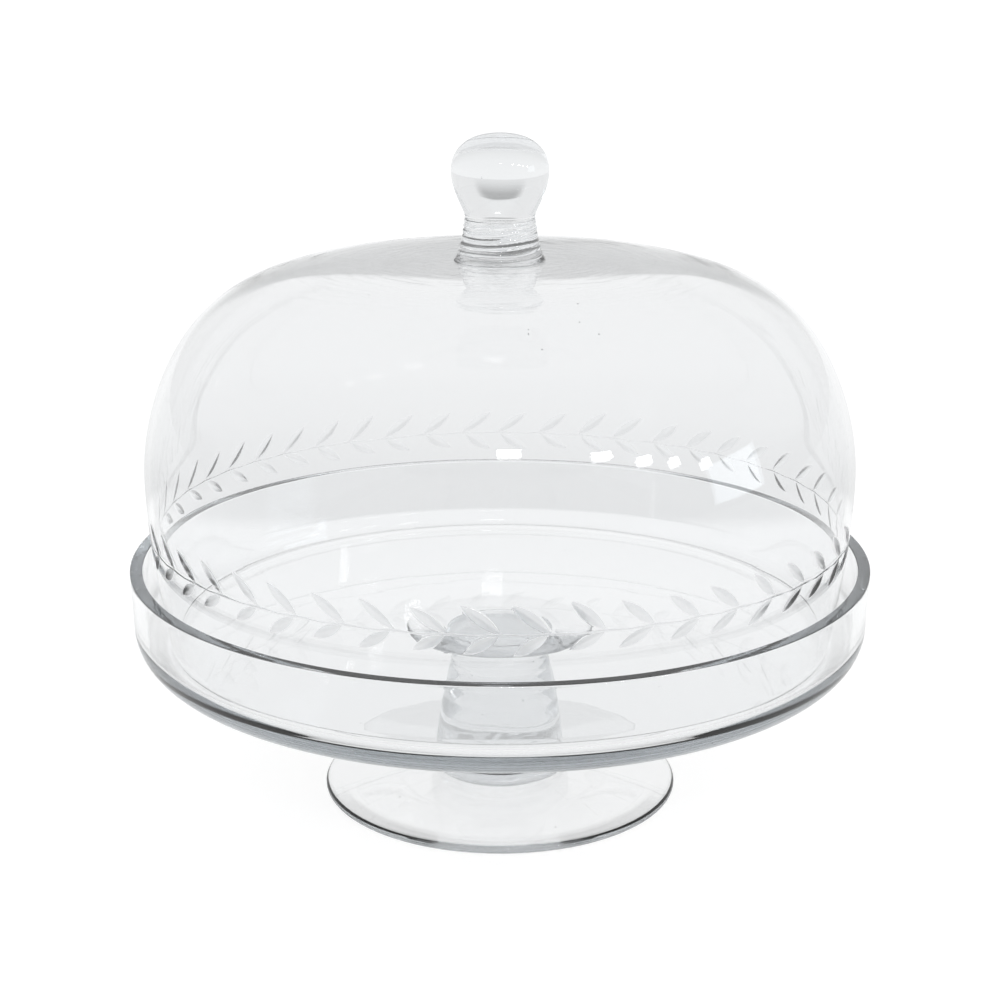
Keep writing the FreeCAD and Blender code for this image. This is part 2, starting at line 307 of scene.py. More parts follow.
def turned_piece(name, rings, bubbles=(), cut=None):
    """Mesh object from rings listed from axis to axis. cut holds one value per point."""
    first = np.r_[0, np.cumsum([len(r) for r in rings])][:-1]
    points = np.concatenate(rings)
    faces = stitched(rings, first)
    if not faces_out(rings):
        faces = [face[::-1] for face in faces]
    mesh = bpy.data.meshes.new(name)
    bubble_points, bubble_faces = seeds(bubbles)
    shift = len(points)
    all_points = np.concatenate([points, np.array(bubble_points).reshape(-1, 3)]) * MM
    faces += [[shift + i for i in face] for face in bubble_faces]
    mesh.from_pydata(all_points.tolist(), [], faces)
    if cut is not None:
        values = np.full(len(all_points), -1.0, np.float32)
        values[: len(cut)] = cut
        layer = mesh.attributes.new("cut_depth", "FLOAT", "POINT")
        layer.data.foreach_set("value", values)
    mesh.validate()
    mesh.shade_smooth()
    mesh.set_sharp_from_angle(angle=math.radians(38))
    piece = bpy.data.objects.new(name, mesh)
    bpy.context.scene.collection.objects.link(piece)
    return piece


# ---------------------------------------------------------------- pieces of the stand


def foot_piece():
    edge = FOOT_EDGE_THICKNESS / 2.0
    centre = (FOOT_RADIUS - edge, edge)
    rise = FOOT_PAD_HEIGHT - FOOT_EDGE_THICKNESS
    slope = math.degrees(math.atan2(rise, FOOT_RADIUS - LOWER_WAFER_RADIUS))
    edge_arc = arc(centre, edge, 90.0 - slope, -90.0, 17)
    pad = (LOWER_WAFER_RADIUS - 1.5, FOOT_PAD_HEIGHT - 0.02)
    hollow = spline(
        [
            (FOOT_SEAT_INNER_RADIUS, 0.0),
            (FOOT_SEAT_INNER_RADIUS / 2.0, FOOT_HOLLOW_DEPTH * 0.75),
            (0.0, FOOT_HOLLOW_DEPTH),
        ],
        24,
        end_direction=(-1.0, 0.0),
    )
    profile = joined(
        line((0.0, FOOT_PAD_HEIGHT), pad, 6),
        line(pad, edge_arc[0], 26),
        edge_arc,
        line(edge_arc[-1], (FOOT_SEAT_INNER_RADIUS, 0.0), 5),
        hollow,
    )

    def uneven(turn, r, z):
        lift = 0.10 * swell(turn, r, 4) * np.clip((r - 20.0) / 40.0, 0, 1) * (z > 1.6)
        return r * (1.0 - 0.0012 * (1 - swell(turn, z, 2))), z - np.abs(lift)

    rings = [ring(r, z, FOOT_SEGMENTS, uneven) for r, z in profile]
    bubbles = [(-41, -30, 4.4, 0.35, 0.7), (22, -56, 3.0, 0.3, 0.8), (35, 40, 3.6, 0.3, 0.8)]
    return turned_piece("foot_glass", rings, bubbles)


def lower_wafer_piece():
    radius, base, top = LOWER_WAFER_RADIUS, LOWER_WAFER_BASE, LOWER_WAFER_TOP
    edge = (top - base) / 2.0
    low, high = base - FUSED, top + FUSED
    profile = joined(
        line((0.0, high), (radius - edge - WAFER_SKIRT, high), 10),
        line((radius - edge - WAFER_SKIRT, high), (radius - edge, top), 2),
        arc((radius - edge, base + edge), edge, 90.0, -90.0, 19),
        line((radius - edge, base), (radius - edge - WAFER_SKIRT, low), 2),
        line((radius - edge - WAFER_SKIRT, low), (0.0, low), 10),
    )

    def uneven(turn, r, z):
        lobes = swell(turn, 9.0 * z, 2, (2, 3, 5, 8))
        return r * (1.0 - 0.022 * (1 - lobes) * (r / radius) ** 2), z

    return turned_piece("lower_wafer_glass", [ring(r, z, 192, uneven) for r, z in profile])


def upper_wafer_piece():
    edge = UPPER_WAFER_EDGE / 2.0
    radius, base, top = UPPER_WAFER_RADIUS, UPPER_WAFER_BASE, UPPER_WAFER_TOP
    low, high = base - FUSED, top + FUSED
    inner = STEM_TOP_RADIUS + 1.0
    slope = math.atan2(top - base - UPPER_WAFER_EDGE, radius - edge - inner)
    centre = (radius - edge, top - edge)
    rim = arc(centre, edge, 90.0, math.degrees(slope) - 90.0, 11)
    profile = joined(
        line((0.0, high), (radius - edge - WAFER_SKIRT, high), 12),
        line((radius - edge - WAFER_SKIRT, high), rim[0], 2),
        rim,
        line(rim[-1], (inner, base), 10),
        line((inner, base), (inner - WAFER_SKIRT, low), 2),
        line((inner - WAFER_SKIRT, low), (0.0, low), 8),
    )

    def uneven(turn, r, z):
        lobes = swell(turn, 0.9 * r, 8, (2, 3, 5, 8))
        out = np.clip((r - inner) / (radius - inner), 0.0, 1.0)
        rounded = np.sin(math.pi * out) * (z < top - UPPER_WAFER_EDGE)
        lift = 0.12 * (1 - swell(turn, 2.0 * r, 3, (3, 4, 7))) * rounded
        return r * (1.0 - 0.030 * (1 - lobes) * out), z + lift

    return turned_piece("upper_wafer_glass", [ring(r, z, 224, uneven) for r, z in profile])


def stem_piece():
    height = STEM_TOP - STEM_BASE
    low, high = STEM_BASE - FUSED, STEM_TOP + FUSED
    side = spline(
        [
            (STEM_TOP_RADIUS, STEM_TOP),
            *((STEM_WAIST_RADIUS + past, STEM_BASE + share * height) for share, past in STEM_SIDE),
            (STEM_FOOT_RADIUS, STEM_BASE),
        ],
        70,
    )
    profile = joined(
        line((0.0, high), (STEM_TOP_RADIUS, high), 8),
        line((STEM_TOP_RADIUS, high), side[0], 2),
        side,
        line(side[-1], (STEM_FOOT_RADIUS, low), 2),
        line((STEM_FOOT_RADIUS, low), (0.0, low), 8),
    )

    def uneven(turn, r, z):
        share = (z - STEM_BASE) / height
        lobes = swell(turn, 6.0 * z, 7, (2, 3, 4))
        inside_ends = np.clip(np.sin(math.pi * share), 0, 1)
        ripple = 0.08 * np.sin(z * 0.9 + 0.8 * np.sin(turn + 1.0)) * inside_ends
        return r * (1.0 - 0.018 * (1 - lobes)) + ripple - 0.08, z

    bubbles = [
        (-9, -5, 43, 0.4, 1.8),
        (6, 3, 30, 0.3, 2.2),
        (-4, 8, 22, 0.35, 1.5),
        (11, -6, 50, 0.3, 1.4),
    ]
    return turned_piece("stem_glass", [ring(r, z, 192, uneven) for r, z in profile], bubbles)


def tray_piece():
    easing = TRAY_LIP_EASING
    lip_base = TRAY_RIM_HEIGHT - easing
    inner_rim = TRAY_RIM_RADIUS - TRAY_WALL_THICKNESS
    inner_lip = arc((inner_rim + easing, lip_base), easing, 180.0, 90.0, 9)
    outer_lip = arc((TRAY_RIM_RADIUS - easing, lip_base), easing, 90.0, 0.0, 9)
    heel = TRAY_HEEL_RADIUS
    heel_centre = (TRAY_WALL_BASE_RADIUS - heel, TRAY_UNDERSIDE + heel)
    corner = TRAY_INNER_CORNER_RADIUS
    inner_wall = TRAY_WALL_BASE_RADIUS - TRAY_WALL_THICKNESS
    corner_centre = (inner_wall - corner, TRAY_FLOOR + corner)
    profile = joined(
        line((0.0, TRAY_FLOOR), (corner_centre[0], TRAY_FLOOR), 40),
        arc(corner_centre, corner, -90.0, 0.0, 22),
        line((inner_wall, corner_centre[1]), inner_lip[0], 18),
        inner_lip,
        line(inner_lip[-1], outer_lip[0], 5),
        outer_lip,
        line(outer_lip[-1], (TRAY_WALL_BASE_RADIUS, heel_centre[1]), 18),
        arc(heel_centre, heel, 0.0, -90.0, 34),
        line((heel_centre[0], TRAY_UNDERSIDE), (0.0, TRAY_UNDERSIDE), 40),
    )

    def uneven(turn, r, z):
        share = np.clip((z - TRAY_FLOOR) / (TRAY_RIM_HEIGHT - TRAY_FLOOR), 0, 1)
        wall = 0.28 * (1 - swell(turn, 0.6 * z, 1)) * np.clip((r - 90.0) / 50.0, 0, 1)
        rim = 0.16 * (1 - swell(turn, 0.0 * z, 5, (2, 4, 7))) * share**4
        under = 0.10 * swell(turn, 0.5 * r, 3) * np.clip((r - 45.0) / 40.0, 0, 1)
        below = (z < TRAY_FLOOR - 0.5) & (r < heel_centre[0])
        return r - wall, np.where(below, z + np.abs(under), z - rim)

    rings = [ring(r, z, 384, uneven) for r, z in profile]
    bubbles = [
        (-21.5, -37.0, 68.0, 0.95, 0.6),
        (60, -70, 67, 0.35, 0.6),
        (-85, 20, 66, 0.4, 0.6),
        (30, 95, 68, 0.35, 0.6),
        (-50, -105, 67, 0.3, 0.6),
        (105, 15, 66, 0.35, 0.6),
    ]
    return turned_piece("tray_glass", rings, bubbles)


# ---------------------------------------------------------------- pieces of the cover


def dome_stations():
    """Points up the outside: lip that leans in, belly, then squarish shoulder and crown."""
    start = TRAY_FLOOR + DOME_LIP_ROUND
    stations = []
    for index in range(5):
        share = index / 5.0
        bulge = 1.0 - (1.0 - share) ** 2
        radius = DOME_RIM_RADIUS + (DOME_BELLY_RADIUS - DOME_RIM_RADIUS) * bulge
        stations.append((radius, start + (DOME_BELLY_HEIGHT - start) * share))
    for index in range(11):
        turn = math.pi / 2.0 * index / 10.0
        across = 0.0 if index == 10 else math.cos(turn) ** DOME_SHOULDER_POWER
        rise = math.sin(turn) ** DOME_CROWN_POWER
        height = DOME_BELLY_HEIGHT + (DOME_TOP_HEIGHT - DOME_BELLY_HEIGHT) * rise
        stations.append((DOME_BELLY_RADIUS * across, height))
    return stations


def dome_outside(count):
    """Outside profile from the lip up to the crown."""
    stations = dome_stations()
    lean = np.array(stations[1]) - np.array(stations[0])
    return spline(stations, count, lean, (-1.0, 0.0))


def dome_thickness(height):
    """Blown wall: thin at the side, gathering towards the crown."""
    run = DOME_THICKENING_END - DOME_THICKENING_START
    share = np.clip((height - DOME_THICKENING_START) / run, 0, 1)
    extra = DOME_CROWN_THICKNESS - DOME_WALL_THICKNESS
    return DOME_WALL_THICKNESS + extra * share**2 * (3.0 - 2.0 * share)


def dome_layer(share):
    """Profile at a share of the way in from the outside, from the lip up to the crown."""
    outside = dome_outside(400)
    tangent = np.gradient(outside, axis=0)
    tangent /= np.linalg.norm(tangent, axis=1)[:, None]
    inward = share * dome_thickness(outside[:, 1])
    layer = outside + inward[:, None] * np.stack([-tangent[:, 1], tangent[:, 0]], 1)
    layer[-1, 0] = 0.0
    return layer


def dome_inside(count):
    """Inside profile from the crown down to the lip."""
    inside = dome_layer(1.0)
    inside[0, 1] = dome_outside(400)[0, 1]
    return resampled(inside, count)[::-1]


def leaf_list():
    """(turn of the middle, height of the middle, length, lean, depth) for each cut leaf."""
    rng = np.random.default_rng(11)
    leaves = []
    for index in range(LEAF_PAIRS):
        node = 360.0 * index / LEAF_PAIRS + rng.uniform(-0.35, 0.35)
        for side, length, slant, lag in (UPPER_LEAF, LOWER_LEAF):
            length = length * rng.uniform(0.93, 1.05)
            slant = math.radians(slant + rng.uniform(-4.0, 4.0))
            half = length / 2.0
            up = side * (LEAF_GAP_TO_LINE + half * math.sin(slant))
            along = half * math.cos(slant) + lag + rng.uniform(-0.4, 0.4)
            turn = math.radians(node) - along / DOME_BELLY_RADIUS
            deepest = LEAF_DEPTH * rng.uniform(0.9, 1.05)
            leaves.append((turn, VINE_HEIGHT + up, length, side * slant, deepest))
    return leaves


def cut_depth(turn, radius, heights):
    """How deep the wheel has cut at each point, negative outside the cuts."""
    depth = np.full((len(heights), len(turn)), UNCUT)
    z = np.array(heights)[:, None]
    r = np.array(radius)[:, None]
    for middle, height, length, lean, deepest in leaf_list():
        offset = (turn[None, :] - middle + math.pi) % (2.0 * math.pi) - math.pi
        near = np.abs(offset[0]) < LEAF_REACH
        across = offset[:, near] * r
        up = np.broadcast_to(z - height, across.shape)
        along_leaf = -across * math.cos(lean) + up * math.sin(lean)
        beside = across * math.sin(lean) + up * math.cos(lean)
        keel = deepest * (1.0 - (2.0 * along_leaf / length) ** 2)
        here = keel - LEAF_FLANK_SLOPE * np.abs(beside)
        depth[:, near] = np.maximum(depth[:, near], here)
    kink = np.abs((turn * LEAF_PAIRS / (2.0 * math.pi)) % 1.0 - 0.5)[None, :]
    beside_stalk = np.abs(z - VINE_HEIGHT - VINE_WAVE * (kink - 0.25))
    stalk = VINE_LINE_DEPTH * np.clip(3.0 * kink, 0.65, 1.0) - VINE_FLANK_SLOPE * beside_stalk
    return np.maximum(depth, stalk)


def dome_piece():
    outside = dome_outside(200)
    band_low, band_high = VINE_HEIGHT - BAND_BELOW_VINE, VINE_HEIGHT + BAND_ABOVE_VINE
    below = outside[outside[:, 1] < band_low - 0.3][::2]
    above = outside[outside[:, 1] > band_high + 0.3]
    above = np.concatenate([above[:40:2], above[40:]])
    leaf_rows = np.arange(band_low, band_high, BAND_ROW_STEP)
    stalk_low, stalk_high = VINE_HEIGHT - STALK_ROWS_REACH, VINE_HEIGHT + STALK_ROWS_REACH
    heights = np.unique(np.r_[leaf_rows, np.arange(stalk_low, stalk_high, STALK_ROW_STEP)])
    rising = outside[: np.argmax(outside[:, 0])]
    radii = np.interp(heights, rising[:, 1], rising[:, 0])
    fine, coarse = DOME_FINE_COLUMNS, DOME_COARSE_COLUMNS
    turn = 2.0 * math.pi * np.arange(fine) / fine
    depth = cut_depth(turn, radii, heights)

    def uneven(t, r, z):
        high = np.clip((z - DOME_BASE) / 40.0, 0, 1)
        out = 0.30 * (1 - swell(t, 0.9 * z, 6)) * high * np.clip(r / 90.0, 0, 1)
        return r - out, z

    sag = DOME_LIP_ROUND
    inside = dome_inside(96)
    inner_foot, outer_foot = inside[-1], below[0]
    lip = joined(
        arc((inner_foot[0] + sag, TRAY_FLOOR + sag), sag, 180.0, 270.0, 7),
        arc((outer_foot[0] - sag, TRAY_FLOOR + sag), sag, 270.0, 360.0, 7),
    )
    rings, cut = [], []

    def add_plain(r, z):
        made = ring(r, z, coarse, uneven)
        rings.append(made)
        cut.append(np.full(len(made), UNCUT))

    for r, z in inside[:-1]:
        add_plain(r, z)
    for r, z in lip:
        add_plain(r, z)
    for r, z in below[1:]:
        add_plain(r, z)
    for z, r, row in zip(heights, radii, depth):
        made = ring(r, z, fine, uneven)
        length = np.linalg.norm(made[:, :2], axis=1)
        made[:, :2] *= ((length - np.clip(row, 0.0, CUT_FULL_DEPTH)) / length)[:, None]
        rings.append(made)
        cut.append(row)
    for r, z in above:
        add_plain(r, z)
    return turned_piece("dome_glass", rings, dome_bubbles(), np.concatenate(cut))


def dome_bubbles():
    """Seeds of air in the middle of the dome's wall."""
    rng = np.random.default_rng(5)
    middle = dome_layer(0.5)
    bubbles = []
    for _ in range(DOME_BUBBLES):
        r, z = middle[rng.integers(110, 360)]
        turn = rng.uniform(0, 2 * math.pi)
        bubbles.append((r * math.cos(turn), r * math.sin(turn), z, rng.uniform(0.22, 0.5), 1.0))
    return bubbles


def collar_piece():
    low = COLLAR_BASE - COLLAR_SUNK
    pitch = (COLLAR_TOP - low) / COLLAR_RING_COUNT
    heights = np.linspace(COLLAR_TOP + FUSED, low, 110)

    def body_radius(z):
        share = np.clip((COLLAR_TOP - z) / (COLLAR_TOP - low), 0, 1)
        return COLLAR_TOP_RADIUS + (COLLAR_BASE_RADIUS - 0.6 - COLLAR_TOP_RADIUS) * share**1.6

    def rings_cut(turn, r, z):
        spiral = turn / (2.0 * math.pi)
        drift = 0.10 * np.sin(turn + 0.7) + 0.08 * np.sin(3 * turn + 0.4 * z) + spiral
        wave = np.abs(np.sin(math.pi * ((COLLAR_TOP - z) / pitch + drift)))
        size = COLLAR_RING_DEPTH * (0.75 + 0.25 * np.sin(2 * turn + z))
        fade = np.clip((COLLAR_TOP - z) / 1.2, 0, 1)
        on_side = r > body_radius(z) - 0.05
        return np.where(on_side, r + size * (wave - 0.35) * fade, r), z

    side = np.stack([body_radius(heights), heights], 1)
    profile = joined(
        line((0.0, heights[0]), side[0], 7),
        side,
        line(side[-1], (0.0, low), 9),
    )
    bubbles = [(5, -6, 229, 0.35, 0.7), (-6, 4, 233, 0.4, 0.7), (2, 8, 226, 0.3, 0.7)]
    return turned_piece("collar_glass", [ring(r, z, 224, rings_cut) for r, z in profile], bubbles)


def knob_piece():
    wide = KNOB_RADIUS / KNOB_STATIONS_RADIUS
    tall = (KNOB_TOP - KNOB_BASE) / KNOB_STATIONS_HEIGHT
    stations = [(r * wide, KNOB_BASE + z * tall) for r, z in KNOB_STATIONS]
    side = spline(stations, 90, (-0.2, 1.0), (-1.0, 0.0))
    low = KNOB_BASE - FUSED
    profile = joined(
        line((0.0, low), (stations[0][0], low), 7),
        line((stations[0][0], low), side[0], 2),
        side,
    )

    def uneven(turn, r, z):
        share = np.clip((z - KNOB_BASE) / 10.0, 0, 1)
        return r - 0.16 * (1 - swell(turn, 4.0 * z, 9)) * share, z

    bubbles = [(-5, -3, 255, 0.3, 0.9), (4, 5, 249, 0.25, 0.9), (8, -4, 262, 0.22, 0.9)]
    return turned_piece("knob_glass", [ring(r, z, 192, uneven) for r, z in profile], bubbles)


# ---------------------------------------------------------------- materials

GLASS_IOR = 1.5
GLASS_COLOUR_WHEN_THICK = (0.50, 0.54, 0.57, 1.0)
GLASS_ABSORPTION = 6.0
CLEAR_TINT = (0.992, 0.993, 0.994, 1.0)
BLOWN_TINT = (0.965, 0.967, 0.97, 1.0)
CUT_TINT = (0.90, 0.905, 0.91, 1.0)
CUT_ROUGHNESS = 0.30
CUT_MASK_START, CUT_MASK_FULL = -0.012, 0.03    # cut depth in millimetres
STREAK_SCALE = 150.0
STREAK_STRETCH = 0.012
STREAK_HEIGHT = 0.00005
STREAK_START, STREAK_FULL = 0.206, 0.218        # height in metres

FLOOR_REACH = 40.0
FLOOR_HEIGHT = -0.0003          # just under the foot, so the two never share a plane
FLOOR_GLOW = 0.82
FLOOR_PAINT = 0.32
# In the glass the floor shows mostly glow and little lit paint, so the shadows the glass pieces cast
# on it hardly show there: painted light in place of those shadows.
FLOOR_PAINT_IN_GLASS = 0.10
# Glow levels the glass sees in the floor: the dip from 0.385 to 0.64 m behind the part is painted
# shade on the sweep.
FLOOR_GLOW_AND_SHADE_IN_GLASS = (                # (metres behind the part's axis, level seen in the glass)
    (0.0, 0.90),
    (0.12, 0.91),
    (0.22, 0.965),
    (0.35, 0.94),
    (0.385, 0.77),
    (0.50, 0.785),
    (0.64, 0.84),
    (0.90, 0.885),
    (2.0, 0.91),
)
SKY_LEVELS = (                  # (sine of the elevation, level seen in the glass)
    (-1.0, 0.90),
    (0.0, 0.86),
    (0.07, 0.76),
    (0.14, 0.58),
    (0.175, 0.48),
    (0.228, 0.475),
    (0.236, 0.92),
    (1.0, 0.92),
)
SKY_BEHIND_START, SKY_BEHIND_FULL = 0.91, 0.965     # cosine of the angle off straight behind
SKY_SIDES = (0.88, 0.883, 0.886, 1.0)

MIX_FACTOR, MIX_A, MIX_B, MIX_RESULT = 0, 6, 7, 2   # sockets of a Mix node that mixes colours


def node_tree(material):
    material.use_nodes = True
    tree = material.node_tree
    tree.nodes.clear()
    return tree


def add_node(tree, kind, **settings):
    made = tree.nodes.new(kind)
    for name, value in settings.items():
        setattr(made, name, value)
    return made


def glass_material(name, tint, ripple_size, ripple_height, cut=False):
    """Clear soda glass: hand-worked ripple in the surface, a little colour where it is thick."""
    material = bpy.data.materials.new(name)
    tree = node_tree(material)
    link = tree.links.new
    output = add_node(tree, "ShaderNodeOutputMaterial")
    shader = add_node(tree, "ShaderNodeBsdfPrincipled")
    shader.inputs["Transmission Weight"].default_value = 1.0
    shader.inputs["IOR"].default_value = GLASS_IOR
    shader.inputs["Base Color"].default_value = tint
    shader.inputs["Roughness"].default_value = 0.0
    place = add_node(tree, "ShaderNodeTexCoord")
    ripple = add_node(tree, "ShaderNodeTexNoise")
    ripple.inputs["Scale"].default_value = 1.0 / ripple_size
    ripple.inputs["Detail"].default_value = 1.5
    bump = add_node(tree, "ShaderNodeBump")
    bump.inputs["Strength"].default_value = 1.0
    bump.inputs["Distance"].default_value = ripple_height
    link(place.outputs["Object"], ripple.inputs["Vector"])
    link(ripple.outputs["Fac"], bump.inputs["Height"])
    link(bump.outputs["Normal"], shader.inputs["Normal"])
    if cut:
        turned_streaks(tree, place, bump, shader)
        depth = add_node(tree, "ShaderNodeAttribute", attribute_name="cut_depth")
        mask = add_node(tree, "ShaderNodeMapRange", interpolation_type="SMOOTHSTEP")
        mask.inputs["From Min"].default_value = CUT_MASK_START
        mask.inputs["From Max"].default_value = CUT_MASK_FULL
        dull = add_node(tree, "ShaderNodeMath", operation="MULTIPLY")
        dull.inputs[1].default_value = CUT_ROUGHNESS
        colour = add_node(tree, "ShaderNodeMix", data_type="RGBA")
        colour.inputs[MIX_A].default_value = tint
        colour.inputs[MIX_B].default_value = CUT_TINT
        link(depth.outputs["Fac"], mask.inputs["Value"])
        link(mask.outputs["Result"], dull.inputs[0])
        link(dull.outputs[0], shader.inputs["Roughness"])
        link(mask.outputs["Result"], colour.inputs[MIX_FACTOR])
        link(colour.outputs[MIX_RESULT], shader.inputs["Base Color"])
    link(shader.outputs["BSDF"], output.inputs["Surface"])
    volume = add_node(tree, "ShaderNodeVolumeAbsorption")
    volume.inputs["Color"].default_value = GLASS_COLOUR_WHEN_THICK
    volume.inputs["Density"].default_value = GLASS_ABSORPTION
    link(volume.outputs["Volume"], output.inputs["Volume"])
    return material


def turned_streaks(tree, place, bump, shader):
    """Fine rings the tooling leaves round the crown of the dome, fading out on its shoulder."""
    link = tree.links.new
    split = add_node(tree, "ShaderNodeSeparateXYZ")
    flat = add_node(tree, "ShaderNodeVectorMath", operation="MULTIPLY")
    flat.inputs[1].default_value = (1.0, 1.0, 0.0)
    length = add_node(tree, "ShaderNodeVectorMath", operation="LENGTH")
    turn = add_node(tree, "ShaderNodeMath", operation="ARCTAN2")
    stretch = add_node(tree, "ShaderNodeMath", operation="MULTIPLY")
    stretch.inputs[1].default_value = STREAK_STRETCH
    where = add_node(tree, "ShaderNodeCombineXYZ")
    streaks = add_node(tree, "ShaderNodeTexNoise")
    streaks.inputs["Scale"].default_value = STREAK_SCALE
    streaks.inputs["Detail"].default_value = 2.0
    crown = add_node(tree, "ShaderNodeMapRange", interpolation_type="SMOOTHSTEP")
    crown.inputs["From Min"].default_value = STREAK_START
    crown.inputs["From Max"].default_value = STREAK_FULL
    height = add_node(tree, "ShaderNodeMath", operation="MULTIPLY")
    rings = add_node(tree, "ShaderNodeBump")
    rings.inputs["Strength"].default_value = 1.0
    rings.inputs["Distance"].default_value = STREAK_HEIGHT
    link(place.outputs["Object"], split.inputs[0])
    link(place.outputs["Object"], flat.inputs[0])
    link(flat.outputs[0], length.inputs[0])
    link(split.outputs["Y"], turn.inputs[0])
    link(split.outputs["X"], turn.inputs[1])
    link(turn.outputs[0], stretch.inputs[0])
    link(length.outputs["Value"], where.inputs["X"])
    link(stretch.outputs[0], where.inputs["Y"])
    link(where.outputs[0], streaks.inputs["Vector"])
    link(split.outputs["Z"], crown.inputs["Value"])
    link(streaks.outputs["Fac"], height.inputs[0])
    link(crown.outputs["Result"], height.inputs[1])
    link(height.outputs[0], rings.inputs["Height"])
    link(bump.outputs["Normal"], rings.inputs["Normal"])
    link(rings.outputs["Normal"], shader.inputs["Normal"])


def fill_ramp(node, stops, scale, offset):
    """Grey levels along a colour ramp, faintly blue. The first and last stops sit at its ends."""
    for index, (place, level) in enumerate(stops):
        position = place * scale + offset
        if index in (0, len(stops) - 1):
            stop = node.color_ramp.elements[0 if index == 0 else -1]
        else:
            stop = node.color_ramp.elements.new(position)
        stop.color = (level * 0.99, level * 0.997, level, 1.0)


def grey(level):
    return (level, level, level, 1.0)


def floor_material():
    """Plain and pale to the camera. The glass sees its glow graded from front to back, with painted
    shade in a band behind the part, and little of its lit paint, so shadows cast through the glass
    barely show: painted light.
    """
    material = bpy.data.materials.new("pale_floor")
    tree = node_tree(material)
    output = add_node(tree, "ShaderNodeOutputMaterial")
    shader = add_node(tree, "ShaderNodeBsdfPrincipled")
    shader.inputs["Roughness"].default_value = 0.9
    shader.inputs["Specular IOR Level"].default_value = 0.0
    place = add_node(tree, "ShaderNodeTexCoord")
    split = add_node(tree, "ShaderNodeSeparateXYZ")
    depth = add_node(tree, "ShaderNodeMapRange")
    depth.inputs["From Min"].default_value = 0.0
    depth.inputs["From Max"].default_value = FLOOR_GLOW_AND_SHADE_IN_GLASS[-1][0]
    # Ramp of glow levels seen in the glass, with its band of painted shade behind the part.
    levels = add_node(tree, "ShaderNodeValToRGB")
    fill_ramp(levels, FLOOR_GLOW_AND_SHADE_IN_GLASS, 1.0 / FLOOR_GLOW_AND_SHADE_IN_GLASS[-1][0], 0.0)
    path = add_node(tree, "ShaderNodeLightPath")
    glow = add_node(tree, "ShaderNodeMix", data_type="RGBA")
    glow.inputs[MIX_B].default_value = grey(FLOOR_GLOW)
    tree.links.new(place.outputs["Object"], split.inputs[0])
    tree.links.new(split.outputs["Y"], depth.inputs["Value"])
    tree.links.new(depth.outputs["Result"], levels.inputs["Fac"])
    tree.links.new(path.outputs["Is Camera Ray"], glow.inputs[MIX_FACTOR])
    tree.links.new(levels.outputs["Color"], glow.inputs[MIX_A])
    tree.links.new(glow.outputs[MIX_RESULT], shader.inputs["Emission Color"])
    paint = add_node(tree, "ShaderNodeMix", data_type="RGBA")
    paint.inputs[MIX_A].default_value = grey(FLOOR_PAINT_IN_GLASS)
    paint.inputs[MIX_B].default_value = grey(FLOOR_PAINT)
    tree.links.new(path.outputs["Is Camera Ray"], paint.inputs[MIX_FACTOR])
    tree.links.new(paint.outputs[MIX_RESULT], shader.inputs["Base Color"])
    shader.inputs["Emission Strength"].default_value = 1.0
    tree.links.new(shader.outputs["BSDF"], output.inputs["Surface"])
    return material


# ---------------------------------------------------------------- build the object

# Ripple size and height are in metres
clear = glass_material("clear_glass", CLEAR_TINT, 0.045, 0.00010)
tooled = glass_material("tooled_glass", CLEAR_TINT, 0.014, 0.00006)
cut_glass = glass_material("cut_dome_glass", BLOWN_TINT, 0.060, 0.00010, cut=True)

pieces = [
    (foot_piece(), "stand", "foot", clear, "clear_glass"),
    (lower_wafer_piece(), "stand", "lower_wafer", tooled, "tooled_glass"),
    (stem_piece(), "stand", "stem", tooled, "tooled_glass"),
    (upper_wafer_piece(), "stand", "upper_wafer", tooled, "tooled_glass"),
    (tray_piece(), "stand", "tray", clear, "clear_glass"),
    (dome_piece(), "cover", "dome", cut_glass, "cut_dome_glass"),
    (collar_piece(), "cover", "collar", tooled, "tooled_glass"),
    (knob_piece(), "cover", "knob", clear, "clear_glass"),
]
for piece, body, node, material, slot in pieces:
    piece.data.materials.append(material)
    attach(piece, body)
    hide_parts(node)

# ---------------------------------------------------------------- floor, light, camera

floor_mesh = bpy.data.meshes.new("floor")
floor_corners = [
    (x * FLOOR_REACH, y * FLOOR_REACH, FLOOR_HEIGHT) for x, y in ((-1, -1), (1, -1), (1, 1), (-1, 1))
]
floor_mesh.from_pydata(floor_corners, [], [(0, 1, 2, 3)])
floor_mesh.materials.append(floor_material())
floor = bpy.data.objects.new("floor", floor_mesh)
bpy.context.scene.collection.objects.link(floor)

world = bpy.data.worlds.new("studio")
bpy.context.scene.world = world
world.use_nodes = True
sky = world.node_tree
sky.nodes.clear()
sky_output = add_node(sky, "ShaderNodeOutputWorld")
sky_light = add_node(sky, "ShaderNodeBackground")
sky_place = add_node(sky, "ShaderNodeTexCoord")
sky_split = add_node(sky, "ShaderNodeSeparateXYZ")
sky_ramp = add_node(sky, "ShaderNodeValToRGB")
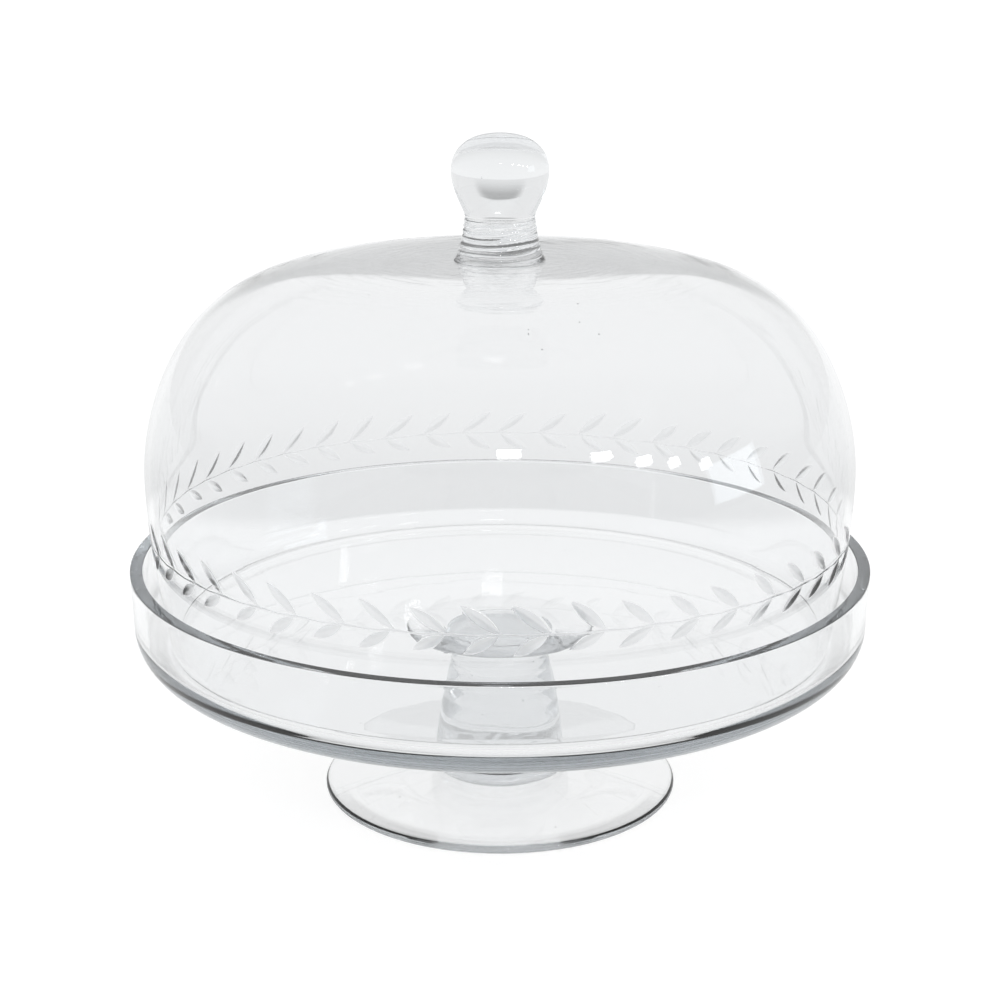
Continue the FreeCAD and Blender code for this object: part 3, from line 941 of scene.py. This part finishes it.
# Behind the part, low down: a pale sweep, a dim strip of room above it, then a bright ceiling.
# Elsewhere one pale tone. The camera itself sees plain white.
fill_ramp(sky_ramp, SKY_LEVELS, 0.5, 0.5)
sky_shift = add_node(sky, "ShaderNodeMath", operation="MULTIPLY_ADD")
sky_shift.inputs[1].default_value = 0.5
sky_shift.inputs[2].default_value = 0.5
behind = add_node(sky, "ShaderNodeMapRange", interpolation_type="SMOOTHSTEP")
behind.inputs["From Min"].default_value = SKY_BEHIND_START
behind.inputs["From Max"].default_value = SKY_BEHIND_FULL
sides = add_node(sky, "ShaderNodeMix", data_type="RGBA")
sides.inputs[MIX_A].default_value = SKY_SIDES
sky.links.new(sky_place.outputs["Generated"], sky_split.inputs[0])
sky.links.new(sky_split.outputs["Z"], sky_shift.inputs[0])
sky.links.new(sky_shift.outputs[0], sky_ramp.inputs["Fac"])
sky.links.new(sky_split.outputs["Y"], behind.inputs["Value"])
sky.links.new(behind.outputs["Result"], sides.inputs[MIX_FACTOR])
sky.links.new(sky_ramp.outputs["Color"], sides.inputs[MIX_B])
sky_path = add_node(sky, "ShaderNodeLightPath")
sky_seen = add_node(sky, "ShaderNodeMix", data_type="RGBA")
sky_seen.inputs[MIX_B].default_value = grey(1.0)
sky.links.new(sky_path.outputs["Is Camera Ray"], sky_seen.inputs[MIX_FACTOR])
sky.links.new(sides.outputs[MIX_RESULT], sky_seen.inputs[MIX_A])
sky.links.new(sky_seen.outputs[MIX_RESULT], sky_light.inputs["Color"])
sky.links.new(sky_light.outputs["Background"], sky_output.inputs["Surface"])

LAMP_DISTANCE = 6.0
WINDOW_WIDTH, WINDOW_HEIGHT, WINDOW_RADIANCE = 2.1, 1.4, 1.7
WINDOW_COLOUR = (0.84, 0.93, 1.0)
CEILING_LAMP_HEIGHT = 0.36
CEILING_LAMPS = (               # (azimuth, elevation, width, radiance)
    (3.0, 34.3, 0.72, 30.0),
    (34.7, 29.7, 0.62, 24.0),
    (48.3, 24.5, 0.50, 16.0),
    (58.3, 20.9, 0.34, 14.0),
    (69.1, 16.6, 0.34, 14.0),
)


def lamp(name, azimuth, elevation, width, height, radiance, colour=(1.0, 1.0, 1.0)):
    """Rectangular lamp aimed at the middle of the part. Azimuth 0 is the camera's side."""
    data = bpy.data.lights.new(name, "AREA")
    data.shape = "RECTANGLE"
    data.size = width
    data.size_y = height
    data.color = colour
    data.energy = radiance * width * height * math.pi
    made = bpy.data.objects.new(name, data)
    a, e = math.radians(azimuth), math.radians(elevation)
    middle = (cad_low + cad_high) / 2.0
    away = type(middle)((math.sin(a) * math.cos(e), -math.cos(a) * math.cos(e), math.sin(e)))
    made.location = middle + away * LAMP_DISTANCE
    made.rotation_mode = "QUATERNION"
    made.rotation_quaternion = away.to_track_quat("Z", "Y")
    bpy.context.scene.collection.objects.link(made)


lamp("window_right", 79.0, 9.0, WINDOW_WIDTH, WINDOW_HEIGHT, WINDOW_RADIANCE, WINDOW_COLOUR)
for azimuth, elevation, width, radiance in CEILING_LAMPS:
    lamp("ceiling_lamp_%d" % azimuth, azimuth, elevation, width, CEILING_LAMP_HEIGHT, radiance)

CAMERA_PLACE = (0.0, -0.81735, 0.36493)
CAMERA_TILT_DOWN = 0.288
CAMERA_LENS, CAMERA_SENSOR = 75.37, 36.0        # millimetres
camera_data = bpy.data.cameras.new("photo_view")
camera = bpy.data.objects.new("photo_view", camera_data)
bpy.context.scene.collection.objects.link(camera)
camera_data.sensor_width = CAMERA_SENSOR
camera_data.lens = CAMERA_LENS
camera_data.clip_start = 0.05
camera_data.clip_end = 120.0
camera.location = CAMERA_PLACE
camera.rotation_euler = (math.pi / 2.0 - CAMERA_TILT_DOWN, 0.0, 0.0)
bpy.context.scene.camera = camera

bpy.context.scene.view_settings.view_transform = "Standard"
cycles = bpy.context.scene.cycles
cycles.max_bounces = 32
cycles.transmission_bounces = 32
cycles.glossy_bounces = 12
cycles.diffuse_bounces = 3
cycles.sample_clamp_indirect = 6.0
